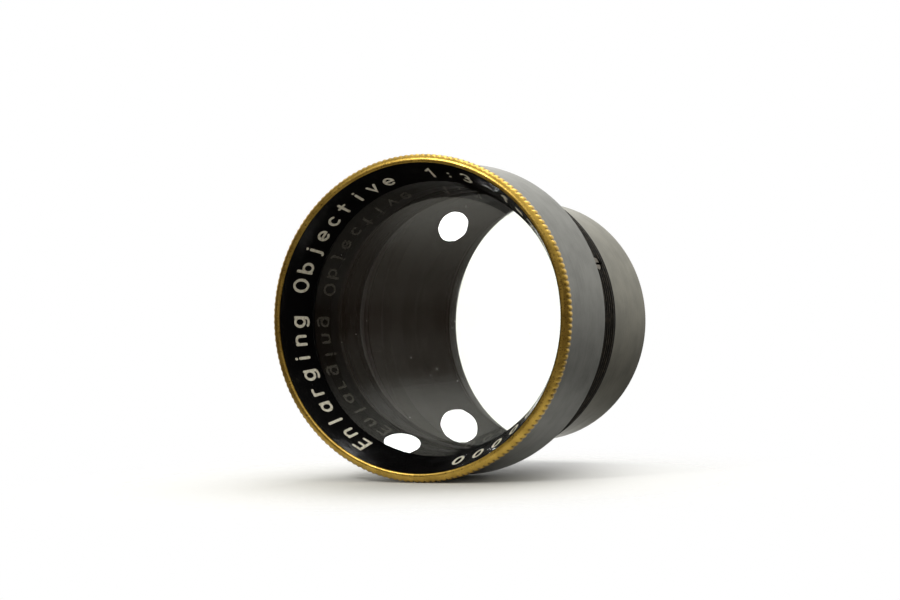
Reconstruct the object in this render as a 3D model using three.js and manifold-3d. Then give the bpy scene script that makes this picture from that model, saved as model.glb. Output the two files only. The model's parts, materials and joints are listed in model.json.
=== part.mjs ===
// A fixed-focus enlarger lens in a plain barrel: a three-element objective without an iris.
// The lens lies on its side. Its optical axis runs along +Y and the front faces -Y.
// Units are millimetres, +Z is up, and the origin is under the middle of the lens at rim level.
//
// Distances along the axis ("depth") are counted from the front plane of the knurled rim.

import * as THREE from 'three';
import { mergeVertices } from 'three/addons/utils/BufferGeometryUtils.js';
import Module from 'manifold-3d';

const wasm = await Module();
wasm.setup();

// ---- Driving dimensions -------------------------------------------------------------------

const RIM_RADIUS = 16.0;            // over the knurl teeth
const RIM_ROOT_RADIUS = 15.8;       // at the bottom of the teeth
const RIM_BORE = 15.17;
const RIM_FACE_DEPTH = -0.38;       // the flat front face stands proud of the knurl
const RIM_FACE_OUTER = 15.5;
const RIM_BACK_DEPTH = 0.64;
const RIM_BAND_RADIUS = 15.76;      // plain band under the teeth
const RIM_BEVEL_DEPTH = -0.16;      // where the bevel from the flat face meets the band
const KNURL_TEETH = 168;

const CELL_FRONT_DEPTH = -0.3;      // thin front edge of the engraved cone
const CELL_FRONT_RADIUS = 15.13;
const CONE_FRONT_RADIUS = 15.08;
const CONE_BACK_RADIUS = 13.5;      // clear opening in front of the glass
const CONE_BACK_DEPTH = 3.58;
const CONE_LIP_DEPTH = 3.72;        // back of the thin lip that holds the front glass
const CELL_STEP_DEPTH = 0.66;       // just behind the rim
const CELL_THREAD_RADIUS = 14.95;
const CELL_THREAD_END = 4.3;
const CELL_PILOT_RADIUS = 14.42;
const CELL_BACK_DEPTH = 7.6;
const CELL_BORE = 13.86;

const BARREL_RADIUS = 15.43;
const BARREL_FRONT_DEPTH = 0.7;
const BARREL_BACK_DEPTH = 9.99;     // the shoulder that seats on the lens board
const BARREL_THREAD_BORE = 15.03;
const BARREL_LEDGE_DEPTH = 4.5;
const BARREL_BORE = 14.5;
const BARREL_WEB_DEPTH = 8.6;
const BARREL_WEB_BORE = 13.22;
const BARREL_SINK_RADIUS = 13.81;   // shallow counterbore that takes the front of the neck
const BARREL_SINK_DEPTH = 9.69;

const RING_GAP = 0.02;              // clearance round the thin rings
const SHIM = { front: 4.34, back: 4.46 };
const BAFFLE = {
  front: 7.75, mouth: 13.8, flangeBack: 8.45, coneFront: 12.22,
  back: 10.25, throat: 11.2, tail: 11.5, lipDepth: 8.1, lip: 11.95,
};

const NECK_RADIUS = 13.75;          // crest of the mounting thread
const NECK_BORE = 12.33;
const NECK_FRONT_DEPTH = 8.62;
const NECK_SPIGOT_RADIUS = 13.15;   // the front of the neck, inside the barrel's web
const NECK_COLLAR_DEPTH = 9.74;
const NECK_BACK_DEPTH = 16.8;

const TUBE_RADIUS = 12.25;
const TUBE_FRONT_DEPTH = 10.45;
const TUBE_BACK_DEPTH = 28.15;
const TUBE_FRONT_BORE = 11.25;
const TUBE_WEB_BORE = 10.6;
const TUBE_WEB_FRONT = 18.5;
const TUBE_WEB_BACK = 19.3;
const TUBE_REAR_BORE = 11.65;
const TUBE_RING_BORE = 11.87;
const TUBE_RING_SEAT = 25.3;

const FRONT_GLASS = { edge: 13.8, vertex: [0.8, 5.69], curve: [33.02, -653.6] };
const MIDDLE_GLASS = { edge: 11.2, vertex: [14.4, 15.9], curve: [-39.0, 27.0] };
const REAR_GLASS = { edge: 11.6, vertex: [23.33, 27.75], curve: [119.5, -27.59] };

const STOP = { front: 12.36, back: 12.66, hole: 10.0 };
const SPACER = { front: 19.36, back: 23.75, frontBore: 10.75, backBore: 10.95 };

// Retaining rings: outer radius, bore at either end, and where their spanner slots start or end.
const FRONT_RING = { radius: 13.81, front: 5.64, back: 7.1, bore: [12.7, 12.95], slotFloor: 6.5 };
const MIDDLE_RING = { radius: 11.18, front: 10.9, back: 12.28, bore: [10.3, 10.3], slotFloor: 11.5 };
const REAR_RING = { radius: 11.8, front: 25.42, back: 27.85, bore: [11.3, 11.45], slotFloor: 27.2 };
const SLOT_WIDTH = 1.2;

const SCREW_DEPTH = 14.9;           // lock screw in the neck
const SCREW_ANGLE = THREE.MathUtils.degToRad(24);   // above +X
const SCREW_RADIUS = 0.7;
const SCREW_TIP = 12.5;
const SCREW_HEAD = 13.66;
const SCREW_HOLE_RADIUS = 0.76;
const SCREW_SLOT = { width: 0.24, depth: 0.35 };
const SCREW_FACETS = 16;

const AXIS_HEIGHT = RIM_RADIUS;
const MID_DEPTH = (RIM_FACE_DEPTH + TUBE_BACK_DEPTH) / 2;

const OUTER_FACETS = 64;            // facets round the turned parts
const INNER_FACETS = 48;            // facets round the sealed rings
const GLASS_FACETS = 32;            // facets round the glass elements

// ---- Materials ----------------------------------------------------------------------------

const finish = (color, roughness, metalness) =>
  new THREE.MeshStandardMaterial({ color, roughness, metalness });

const FINISH = {
  brass: () => finish(0x8d7432, 0.38, 0.9),
  blackEnamel: () => finish(0x080808, 0.25, 0.1),
  satinBarrel: () => finish(0x6a6965, 0.42, 0.6),
  blackBrass: () => finish(0x14110c, 0.5, 0.4),
  steel: () => finish(0x8f8c86, 0.4, 0.9),
  glass: () => {
    const glass = finish(0xdfe6e4, 0.03, 0.0);
    glass.transparent = true;
    glass.opacity = 0.35;
    return glass;
  },
};

// ---- Helpers ------------------------------------------------------------------------------

// Turns a closed outline of [radius, depth] points about the optical axis.
function turned(outline, facets = OUTER_FACETS) {
  const points = outline.map(([radius, depth]) => new THREE.Vector2(radius, depth));
  if (THREE.ShapeUtils.area(points) < 0) points.reverse();
  const onAxis = points.filter((point) => point.x === 0).length === 2;
  if (onAxis) {
    while (!(points[0].x === 0 && points[points.length - 1].x === 0)) points.push(points.shift());
  } else {
    points.push(points[0].clone());
  }
  return welded(new THREE.LatheGeometry(points, facets));
}

// Keeps only the positions and joins the vertices that lie on each other.
function welded(geometry) {
  geometry.deleteAttribute('normal');
  geometry.deleteAttribute('uv');
  return mergeVertices(geometry, 1e-5);
}

function toSolid(geometry) {
  const vertProperties = new Float32Array(geometry.attributes.position.array);
  const triVerts = new Uint32Array(geometry.index.array);
  return new wasm.Manifold(new wasm.Mesh({ numProp: 3, vertProperties, triVerts }));
}

function toGeometry(solid) {
  const mesh = solid.getMesh();
  const geometry = new THREE.BufferGeometry();
  geometry.setAttribute('position', new THREE.BufferAttribute(new Float32Array(mesh.vertProperties), 3));
  geometry.setIndex(new THREE.BufferAttribute(new Uint32Array(mesh.triVerts), 1));
  geometry.computeVertexNormals();
  return geometry;
}

function joined(first, second) {
  return toGeometry(toSolid(first).add(toSolid(second)));
}

function cut(body, ...tools) {
  return toGeometry(tools.reduce((solid, tool) => solid.subtract(toSolid(tool)), toSolid(body)));
}

// A ring with a straight or conical bore and two opposite spanner slots in one end.
function slottedRing({ radius, front, back, bore, slotFloor }, slotEnd, upright, facets) {
  const ring = turned([[bore[0], front], [radius, front], [radius, back], [bore[1], back]], facets);
  const across = 2 * RIM_RADIUS;
  const length = 2 * Math.abs(slotEnd - slotFloor);
  const slot = new THREE.BoxGeometry(upright ? SLOT_WIDTH : across, length, upright ? across : SLOT_WIDTH);
  slot.translate(0, slotEnd, 0);
  return cut(ring, welded(slot));
}

// Places a shape built along +Y so that it points out of the neck at the lock screw.
function alongScrew(geometry) {
  geometry.rotateZ(-Math.PI / 2);
  geometry.rotateY(-SCREW_ANGLE);
  geometry.translate(0, SCREW_DEPTH, 0);
  return geometry;
}

// Depth of a lens surface at a radius, for a surface with its vertex on the axis.
function surfaceDepth(vertex, curve, radius) {
  const sag = Math.abs(curve) - Math.sqrt(curve * curve - radius * radius);
  return vertex + Math.sign(curve) * sag;
}

function lensOutline({ edge, vertex, curve }, steps = 6) {
  const surface = (side) => Array.from({ length: steps + 1 }, (_, step) => {
    const radius = (edge * step) / steps;
    return [radius, surfaceDepth(vertex[side], curve[side], radius)];
  });
  return [...surface(0), ...surface(1).reverse()];
}

// ---- Front cell ---------------------------------------------------------------------------

function knurlTeeth() {
  const outline = new THREE.Shape();
  for (let point = 0; point < 2 * KNURL_TEETH; point += 1) {
    const angle = (point * Math.PI) / KNURL_TEETH;
    const radius = point % 2 === 0 ? RIM_RADIUS : RIM_ROOT_RADIUS;
    const x = radius * Math.cos(angle);
    const y = radius * Math.sin(angle);
    if (point === 0) outline.moveTo(x, y);
    else outline.lineTo(x, y);
  }
  outline.closePath();
  const hole = new THREE.Path();
  hole.absarc(0, 0, RIM_FACE_OUTER, 0, 2 * Math.PI, true);
  outline.holes.push(hole);
  const teeth = new THREE.ExtrudeGeometry(outline, {
    depth: RIM_BACK_DEPTH,
    bevelEnabled: false,
    curveSegments: OUTER_FACETS / 2,
  });
  teeth.rotateX(-Math.PI / 2);
  return welded(teeth);
}

function knurledRim() {
  const band = turned([
    [RIM_BORE, RIM_FACE_DEPTH],
    [RIM_FACE_OUTER, RIM_FACE_DEPTH],
    [RIM_BAND_RADIUS, RIM_BEVEL_DEPTH],
    [RIM_BAND_RADIUS, RIM_BACK_DEPTH],
    [RIM_BORE, RIM_BACK_DEPTH],
  ]);
  return joined(band, knurlTeeth());
}

function frontCell() {
  return turned([
    [CONE_FRONT_RADIUS, CELL_FRONT_DEPTH],
    [CELL_FRONT_RADIUS, CELL_FRONT_DEPTH],
    [CELL_FRONT_RADIUS, CELL_STEP_DEPTH],
    [CELL_THREAD_RADIUS, CELL_STEP_DEPTH],
    [CELL_THREAD_RADIUS, CELL_THREAD_END],
    [CELL_PILOT_RADIUS, CELL_THREAD_END],
    [CELL_PILOT_RADIUS, CELL_BACK_DEPTH],
    [CELL_BORE, CELL_BACK_DEPTH],
    [CELL_BORE, CONE_LIP_DEPTH],
    [CONE_BACK_RADIUS, CONE_BACK_DEPTH],
  ]);
}

function frontRetainingRing() {
  return slottedRing(FRONT_RING, FRONT_RING.back, false, INNER_FACETS);
}

// ---- Barrel -------------------------------------------------------------------------------

function frontBarrel() {
  return turned([
    [BARREL_THREAD_BORE, BARREL_FRONT_DEPTH],
    [BARREL_RADIUS, BARREL_FRONT_DEPTH],
    [BARREL_RADIUS, BARREL_BACK_DEPTH],
    [BARREL_SINK_RADIUS, BARREL_BACK_DEPTH],
    [BARREL_SINK_RADIUS, BARREL_SINK_DEPTH],
    [BARREL_WEB_BORE, BARREL_SINK_DEPTH],
    [BARREL_WEB_BORE, BARREL_WEB_DEPTH],
    [BARREL_BORE, BARREL_WEB_DEPTH],
    [BARREL_BORE, BARREL_LEDGE_DEPTH],
    [BARREL_THREAD_BORE, BARREL_LEDGE_DEPTH],
  ]);
}

// Thin washer that sets the air space behind the front cell.
function airSpaceShim() {
  return turned([
    [BARREL_BORE + RING_GAP, SHIM.front],
    [CELL_THREAD_RADIUS - RING_GAP, SHIM.front],
    [CELL_THREAD_RADIUS - RING_GAP, SHIM.back],
    [BARREL_BORE + RING_GAP, SHIM.back],
  ]);
}

// Blackened funnel that hides the bare steps of the bore.
function lightBaffle() {
  return turned([
    [BAFFLE.mouth, BAFFLE.front],
    [CELL_PILOT_RADIUS, BAFFLE.front],
    [CELL_PILOT_RADIUS, BAFFLE.flangeBack],
    [BAFFLE.coneFront, BAFFLE.flangeBack],
    [BAFFLE.tail, BAFFLE.back],
    [BAFFLE.throat, BAFFLE.back],
    [BAFFLE.lip, BAFFLE.lipDepth],
  ], INNER_FACETS);
}

function threadedNeck() {
  const neck = turned([
    [NECK_BORE, NECK_FRONT_DEPTH],
    [NECK_SPIGOT_RADIUS, NECK_FRONT_DEPTH],
    [NECK_SPIGOT_RADIUS, NECK_COLLAR_DEPTH],
    [NECK_RADIUS, NECK_COLLAR_DEPTH],
    [NECK_RADIUS, NECK_BACK_DEPTH],
    [NECK_BORE, NECK_BACK_DEPTH],
  ]);
  const wall = NECK_RADIUS - NECK_BORE;
  const hole = new THREE.CylinderGeometry(SCREW_HOLE_RADIUS, SCREW_HOLE_RADIUS, 2 * wall, SCREW_FACETS);
  hole.translate(0, NECK_BORE + wall / 2, 0);
  return cut(neck, welded(alongScrew(hole)));
}

function lockScrew() {
  const length = SCREW_HEAD - SCREW_TIP;
  const shank = new THREE.CylinderGeometry(SCREW_RADIUS, SCREW_RADIUS, length, SCREW_FACETS);
  shank.translate(0, SCREW_TIP + length / 2, 0);
  const slot = new THREE.BoxGeometry(SCREW_SLOT.width, 2 * SCREW_SLOT.depth, 3 * SCREW_RADIUS);
  slot.translate(0, SCREW_HEAD, 0);
  return cut(welded(alongScrew(shank)), welded(alongScrew(slot)));
}

// ---- Rear tube ----------------------------------------------------------------------------

function rearTube() {
  return turned([
    [TUBE_FRONT_BORE, TUBE_FRONT_DEPTH],
    [TUBE_RADIUS, TUBE_FRONT_DEPTH],
    [TUBE_RADIUS, TUBE_BACK_DEPTH],
    [TUBE_RING_BORE, TUBE_BACK_DEPTH],
    [TUBE_RING_BORE, TUBE_RING_SEAT],
    [TUBE_REAR_BORE, TUBE_RING_SEAT],
    [TUBE_REAR_BORE, TUBE_WEB_BACK],
    [TUBE_WEB_BORE, TUBE_WEB_BACK],
    [TUBE_WEB_BORE, TUBE_WEB_FRONT],
    [TUBE_FRONT_BORE, TUBE_WEB_FRONT],
  ]);
}

function middleRetainingRing() {
  return slottedRing(MIDDLE_RING, MIDDLE_RING.front, false, INNER_FACETS);
}

// Thin blackened disc whose hole sets the lens's fixed aperture.
function fixedStop() {
  return turned([
    [STOP.hole, STOP.front],
    [MIDDLE_GLASS.edge - RING_GAP, STOP.front],
    [MIDDLE_GLASS.edge - RING_GAP, STOP.back],
    [STOP.hole, STOP.back],
  ], INNER_FACETS);
}

function rearSpacer() {
  return turned([
    [SPACER.frontBore, SPACER.front],
    [REAR_GLASS.edge, SPACER.front],
    [REAR_GLASS.edge, SPACER.back],
    [SPACER.backBore, SPACER.back],
  ], INNER_FACETS);
}

function rearRetainingRing() {
  return slottedRing(REAR_RING, REAR_RING.back, true, OUTER_FACETS);
}

// ---- Assembly -----------------------------------------------------------------------------

const PIECES = [
  ['knurled_rim', knurledRim(), FINISH.brass()],
  ['front_cell', frontCell(), FINISH.blackEnamel()],
  ['front_element', turned(lensOutline(FRONT_GLASS), GLASS_FACETS), FINISH.glass()],
  ['front_retaining_ring', frontRetainingRing(), FINISH.blackBrass()],
  ['front_barrel', frontBarrel(), FINISH.satinBarrel()],
  ['air_space_shim', airSpaceShim(), FINISH.brass()],
  ['light_baffle', lightBaffle(), FINISH.blackBrass()],
  ['threaded_neck', threadedNeck(), FINISH.blackBrass()],
  ['lock_screw', lockScrew(), FINISH.steel()],
  ['rear_tube', rearTube(), FINISH.satinBarrel()],
  ['middle_retaining_ring', middleRetainingRing(), FINISH.blackBrass()],
  ['fixed_stop', fixedStop(), FINISH.blackBrass()],
  ['middle_element', turned(lensOutline(MIDDLE_GLASS), GLASS_FACETS), FINISH.glass()],
  ['rear_spacer', rearSpacer(), FINISH.blackBrass()],
  ['rear_element', turned(lensOutline(REAR_GLASS), GLASS_FACETS), FINISH.glass()],
  ['rear_retaining_ring', rearRetainingRing(), FINISH.blackBrass()],
];

const lens = new THREE.Group();
lens.position.set(0, -MID_DEPTH, AXIS_HEIGHT);
for (const [name, geometry, material] of PIECES) {
  const piece = new THREE.Mesh(geometry, material);
  piece.name = name;
  lens.add(piece);
}

const group = new THREE.Group();
group.add(lens);

export default group;
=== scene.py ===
"""Looks of a fixed-focus enlarger lens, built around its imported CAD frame.

The optical axis runs along +Y and the front faces -Y. Outlines are lists of (radius, y) in
millimetres, with y in the frame's own axis, and every mesh is written in metres.
"""

import json
import math
import random

import bmesh
import bpy
import numpy as np
from mathutils import Matrix, Vector


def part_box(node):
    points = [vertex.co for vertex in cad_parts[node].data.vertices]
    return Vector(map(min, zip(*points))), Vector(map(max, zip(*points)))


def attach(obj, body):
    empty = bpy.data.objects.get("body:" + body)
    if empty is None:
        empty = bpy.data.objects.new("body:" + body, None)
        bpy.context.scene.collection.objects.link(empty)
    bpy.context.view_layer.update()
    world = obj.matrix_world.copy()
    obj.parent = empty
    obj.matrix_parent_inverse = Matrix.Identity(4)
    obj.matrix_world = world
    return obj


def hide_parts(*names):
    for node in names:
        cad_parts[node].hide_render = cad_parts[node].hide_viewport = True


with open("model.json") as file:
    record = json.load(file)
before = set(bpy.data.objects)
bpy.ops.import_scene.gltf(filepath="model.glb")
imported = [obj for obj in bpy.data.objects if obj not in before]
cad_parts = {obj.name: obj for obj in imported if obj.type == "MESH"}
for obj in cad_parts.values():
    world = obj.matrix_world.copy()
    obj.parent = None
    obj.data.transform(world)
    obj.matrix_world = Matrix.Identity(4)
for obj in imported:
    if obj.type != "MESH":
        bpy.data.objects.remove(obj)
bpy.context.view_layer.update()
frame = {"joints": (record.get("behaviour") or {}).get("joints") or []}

# ---- Frame measures, in millimetres --------------------------

MM = 0.001
TAU = 2 * math.pi


def front(node):
    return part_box(node)[0].y / MM


def back(node):
    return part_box(node)[1].y / MM


def ends(node):
    return front(node), back(node)


def radius(node):
    low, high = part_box(node)
    return (high.x - low.x) / 2 / MM


RIM_LOW, RIM_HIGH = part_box("knurled_rim")
AXIS_HEIGHT = (RIM_LOW.z + RIM_HIGH.z) / 2 / MM
FACE_PROUD = 0.38                    # how far the rim's flat face stands before the knurl
RIM_PLANE = front("knurled_rim") + FACE_PROUD

PITCH = 0.5                          # every screw thread, one turn
THREAD_DEPTH = 0.17
KNURL_TEETH = 168
KNURL_DEPTH = 0.095

SMOOTH_STEPS = 256                   # facets round a plain turned part
THREAD_STEPS = 192
RING_STEPS = 144
GLASS_INDEX = 1.62

# ---- Camera --------------------------------------------------

CAMERA_AZIMUTH = math.radians(25.12)
CAMERA_ELEVATION = math.radians(-1.06)
CAMERA_DISTANCE = 389.16             # to the centre of the rim plane, along the view
CAMERA_SIDE = -2.98                  # the rim centre lies this far right of the view's centre
CAMERA_RISE = -1.755                 # and this far above it
CAMERA_FOCAL = 160.0
SENSOR_WIDTH = 36.0


def add_camera():
    sin_a, cos_a = math.sin(CAMERA_AZIMUTH), math.cos(CAMERA_AZIMUTH)
    sin_e, cos_e = math.sin(CAMERA_ELEVATION), math.cos(CAMERA_ELEVATION)
    forward = Vector((-sin_a * cos_e, cos_a * cos_e, -sin_e))
    right = Vector((cos_a, sin_a, 0))
    up = right.cross(forward)
    rim_centre = Vector((0, RIM_PLANE, AXIS_HEIGHT))
    place = rim_centre - CAMERA_DISTANCE * forward - CAMERA_SIDE * right - CAMERA_RISE * up
    data = bpy.data.cameras.new("camera")
    data.lens = CAMERA_FOCAL
    data.sensor_width = SENSOR_WIDTH
    camera = bpy.data.objects.new("camera", data)
    turn = Matrix((right, up, -forward)).transposed()
    camera.matrix_world = Matrix.Translation(place * MM) @ turn.to_4x4()
    bpy.context.collection.objects.link(camera)
    bpy.context.scene.camera = camera


add_camera()

# ---- Mesh helpers --------------------------------------------

SHARP_ANGLE = 32.0                   # degrees, above which an edge is shaded sharp
STRAIGHT = -0.94                     # cosine below which a corner of an outline stays as it is
CORNER_SHARE = 0.4                   # most of a side that a softened corner may take
SAME_RADIUS = 0.001
RIDGE_SLOPE, RIDGE_ROOT = 1.5, 0.2   # steepness of a thread's flanks and width of its root
WORN_SLOPE, WORN_START = 3.0, 1.8    # how fast wear grows up a thread, and where it starts
SLOT_WIDTH = 1.2                     # the spanner slots of every retaining ring
SLOT_REACH = 60.0                    # longer than any ring is wide


def add_mesh(name, points_mm, faces, sharp_angle=SHARP_ANGLE):
    """A mesh object from points in millimetres, with outward faces."""
    mesh = bpy.data.meshes.new(name)
    points = np.asarray(points_mm, float) * MM
    mesh.from_pydata(points.tolist(), [], faces)
    work = bmesh.new()
    work.from_mesh(mesh)
    bmesh.ops.recalc_face_normals(work, faces=work.faces)
    work.to_mesh(mesh)
    work.free()
    mesh.shade_smooth()
    mesh.set_sharp_from_angle(angle=math.radians(sharp_angle))
    piece = bpy.data.objects.new(name, mesh)
    bpy.context.collection.objects.link(piece)
    return piece


def from_bmesh(name, work):
    """An object from a finished bmesh, not yet in the scene."""
    mesh = bpy.data.meshes.new(name)
    work.to_mesh(mesh)
    work.free()
    return bpy.data.objects.new(name, mesh)


def spin(name, outline, steps=SMOOTH_STEPS, relief=None, masks=None, sharp_angle=SHARP_ANGLE):
    """Turns an outline about the optical axis.

    relief(radius, y, angle) gives the radius to use, and masks names float attributes, each a
    function of the outline's radius and y and of the angle.
    """
    outline = np.asarray(outline, float)
    on_axis = outline[0][0] == 0 and outline[-1][0] == 0
    angles = np.arange(steps) * TAU / steps
    points, faces, rows = [], [], []
    values = {key: [] for key in masks or {}}
    for r, y in outline:
        ring = angles if r > 0 else angles[:1]
        r_used = relief(r, y, ring) if relief and r > 0 else np.full(len(ring), r)
        rows.append(np.arange(len(points), len(points) + len(ring)))
        height = AXIS_HEIGHT + r_used * np.sin(ring)
        points.extend(zip(r_used * np.cos(ring), np.full(len(ring), y), height))
        for key, mask in (masks or {}).items():
            values[key].extend(np.broadcast_to(mask(r, y, ring), ring.shape))
    count = len(rows)
    for row in range(count - 1 if on_axis else count):
        near, far = rows[row], rows[(row + 1) % count]
        for step in range(steps):
            after = (step + 1) % steps
            if len(near) == 1:
                faces.append((near[0], far[step], far[after]))
            elif len(far) == 1:
                faces.append((near[step], near[after], far[0]))
            else:
                faces.append((near[step], near[after], far[after], far[step]))
    piece = add_mesh(name, points, faces, sharp_angle)
    for key, numbers in values.items():
        layer = piece.data.attributes.new(key, "FLOAT", "POINT")
        layer.data.foreach_set("value", np.asarray(numbers, np.float32))
    return piece


def rounded(outline, size, steps=3):
    """A closed outline with every real corner softened by a small curve."""
    corners = [np.asarray(point, float) for point in outline]
    result = []
    for index, corner in enumerate(corners):
        before = corners[index - 1] - corner
        after = corners[(index + 1) % len(corners)] - corner
        long_before, long_after = np.linalg.norm(before), np.linalg.norm(after)
        if np.dot(before, after) / (long_before * long_after) < STRAIGHT:
            result.append(tuple(corner))
            continue
        reach = min(size, CORNER_SHARE * long_before, CORNER_SHARE * long_after)
        start = corner + before / long_before * reach
        end = corner + after / long_after * reach
        for step in range(steps + 1):
            t = step / steps
            result.append(tuple((1 - t) ** 2 * start + 2 * t * (1 - t) * corner + t * t * end))
    return result


def along(start, end, count):
    """Points from start to end of an outline, both ends included."""
    return [tuple(point) for point in np.linspace(start, end, count)]


def thread_height(y, angle):
    """0 in the root of a right-handed thread and 1 in the middle of its crest."""
    phase = (y / PITCH + angle / TAU) % 1.0
    return 1 - np.abs(2 * phase - 1)


def thread_relief(from_y, to_y, crest, depth=THREAD_DEPTH, outward=True):
    """Cuts a thread into the surface of radius crest, fading out at both ends."""
    side = 1 if outward else -1

    def relief(r, y, angle):
        if abs(r - crest) > SAME_RADIUS or not from_y <= y <= to_y:
            return np.full(len(angle), r)
        ridge = np.clip(RIDGE_SLOPE * thread_height(y, angle) - RIDGE_ROOT, 0, 1)
        fade = min(1.0, (y - from_y) / PITCH, (to_y - y) / PITCH)
        return r - side * depth * (1 - ridge) * fade

    return relief


def thread_mask(from_y, to_y, crest):
    """1 on the crests of a thread and 0 elsewhere, for worn metal."""

    def mask(r, y, angle):
        if abs(r - crest) > SAME_RADIUS or not from_y <= y <= to_y:
            return np.zeros(len(angle))
        return np.clip(WORN_SLOPE * thread_height(y, angle) - WORN_START, 0, 1)

    return mask


def subtract(piece, tool, placement):
    """Cuts a closed tool, put where placement says, out of a piece, and removes the tool."""
    tool.matrix_world = placement
    bpy.context.collection.objects.link(tool)
    bpy.context.view_layer.update()
    cutter = piece.modifiers.new("cut", "BOOLEAN")
    cutter.operation = "DIFFERENCE"
    cutter.solver = "EXACT"
    cutter.object = tool
    graph = bpy.context.evaluated_depsgraph_get()
    cut = bpy.data.meshes.new_from_object(piece.evaluated_get(graph))
    piece.modifiers.clear()
    piece.data = cut
    bpy.data.objects.remove(tool)


def cut_box(piece, size, centre):
    """Cuts a box out of a piece, both in the piece's own units."""
    work = bmesh.new()
    bmesh.ops.create_cube(work, size=1.0)
    tool = from_bmesh("box_tool", work)
    subtract(piece, tool, Matrix.Translation(centre) @ Matrix.Diagonal((*size, 1.0)))


def cut_slots(ring, low_y, high_y, upright):
    """Two opposite spanner slots, cut right across a ring, level or upright."""
    across = (SLOT_WIDTH, SLOT_REACH) if upright else (SLOT_REACH, SLOT_WIDTH)
    size = Vector((across[0], high_y - low_y, across[1])) * MM
    cut_box(ring, size, Vector((0, (low_y + high_y) / 2, AXIS_HEIGHT)) * MM)


def place_piece(piece, body, slot, material, *nodes):
    """Gives a finished piece its material, puts it under its body and hides the CAD nodes it
    stands for; the slot is not used.
    """
    piece.data.materials.clear()
    piece.data.materials.append(material)
    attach(piece, body)
    if nodes:
        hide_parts(*nodes)


# ---- Material helpers ----------------------------------------


class Nodes:
    """A short way to write one material's node tree."""

    def __init__(self, name):
        self.material = bpy.data.materials.new(name)
        self.material.use_nodes = True
        self.tree = self.material.node_tree
        self.shader = self.tree.nodes["Principled BSDF"]
        coordinates = self.tree.nodes.new("ShaderNodeTexCoord")
        shift = self.tree.nodes.new("ShaderNodeVectorMath")
        shift.operation = "MULTIPLY_ADD"
        shift.inputs[1].default_value = (1 / MM,) * 3
        shift.inputs[2].default_value = (0, 0, -AXIS_HEIGHT)
        self.link(coordinates.outputs["Object"], shift.inputs[0])
        self.place = shift.outputs[0]

    def link(self, source, target):
        self.tree.links.new(source, target)

    def stretched(self, x, y, z):
        """The place in millimetres, scaled along each axis."""
        node = self.tree.nodes.new("ShaderNodeVectorMath")
        node.operation = "MULTIPLY"
        node.inputs[1].default_value = (x, y, z)
        self.link(self.place, node.inputs[0])
        return node.outputs[0]

    def noise(self, scale, detail, place=None):
        node = self.tree.nodes.new("ShaderNodeTexNoise")
        node.inputs["Scale"].default_value = scale
        node.inputs["Detail"].default_value = detail
        self.link(place or self.place, node.inputs["Vector"])
        return node.outputs["Fac"]

    def specks(self, scale, size):
        """Sparse dots: 1 inside a dot and 0 outside, with a soft edge."""
        node = self.tree.nodes.new("ShaderNodeTexVoronoi")
        node.inputs["Scale"].default_value = scale
        self.link(self.place, node.inputs["Vector"])
        return self.ramp(node.outputs["Distance"], (size, size * 0.6), (0.0, 1.0))

    def attribute(self, name):
        node = self.tree.nodes.new("ShaderNodeAttribute")
        node.attribute_name = name
        return node.outputs["Fac"]

    def ramp(self, value, source, target):
        """A value carried from one range to another, and held at its ends."""
        node = self.tree.nodes.new("ShaderNodeMapRange")
        for socket, number in zip(node.inputs[1:5], (*source, *target)):
            socket.default_value = number
        self.link(value, node.inputs[0])
        return node.outputs[0]

    def maths(self, operation, first, second):
        """One sum of two outputs, or of an output and a number."""
        node = self.tree.nodes.new("ShaderNodeMath")
        node.operation = operation
        self.link(first, node.inputs[0])
        if isinstance(second, float):
            node.inputs[1].default_value = second
        else:
            self.link(second, node.inputs[1])
        return node.outputs[0]

    def at_least(self, roughness, mask, amount):
        """Roughness raised to an amount wherever a mask is 1."""
        return self.maths("MAXIMUM", roughness, self.maths("MULTIPLY", mask, amount))

    def mix(self, amount, first, second):
        """A colour between two colours, each a tuple or another node's output."""
        node = self.tree.nodes.new("ShaderNodeMix")
        node.data_type = "RGBA"
        self.link(amount, node.inputs["Factor"])
        colours = [socket for socket in node.inputs if socket.type == "RGBA"]
        for socket, value in zip(colours, (first, second)):
            if isinstance(value, tuple):
                socket.default_value = (*value, 1.0)
            else:
                self.link(value, socket)
        return [socket for socket in node.outputs if socket.type == "RGBA"][0]

    def bump(self, height, distance, strength):
        node = self.tree.nodes.new("ShaderNodeBump")
        node.inputs["Strength"].default_value = strength
        node.inputs["Distance"].default_value = distance * MM
        self.link(height, node.inputs["Height"])
        self.link(node.outputs[0], self.shader.inputs["Normal"])

    def finish(self, colour, roughness, metallic=0.0, **uniform):
        """Connects the shader: colour and roughness are outputs, the rest are plain numbers."""
        self.link(colour, self.shader.inputs["Base Color"])
        self.link(roughness, self.shader.inputs["Roughness"])
        self.shader.inputs["Metallic"].default_value = metallic
        for name, value in uniform.items():
            self.shader.inputs[name.replace("_", " ")].default_value = value
        return self.material


# ---- Materials -----------------------------------------------

MIDDLE = (0.3, 0.7)                  # the part of a noise's range that most of it falls in
FULL = (0.0, 1.0)


def brass():
    """Worn brass, dull in patches and dark in the grooves of the knurl."""
    bright, tarnished, in_grooves = (0.62, 0.41, 0.088), (0.42, 0.27, 0.055), (0.09, 0.055, 0.016)
    nodes = Nodes("worn_brass")
    patches = nodes.ramp(nodes.noise(0.8, 4), (0.35, 0.7), FULL)
    grain = nodes.noise(7.0, 2)
    colour = nodes.mix(patches, bright, tarnished)
    colour = nodes.mix(nodes.attribute("root"), colour, in_grooves)
    nodes.bump(grain, distance=0.02, strength=0.5)
    return nodes.finish(colour, nodes.ramp(grain, MIDDLE, (0.24, 0.42)), metallic=1.0)


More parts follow.
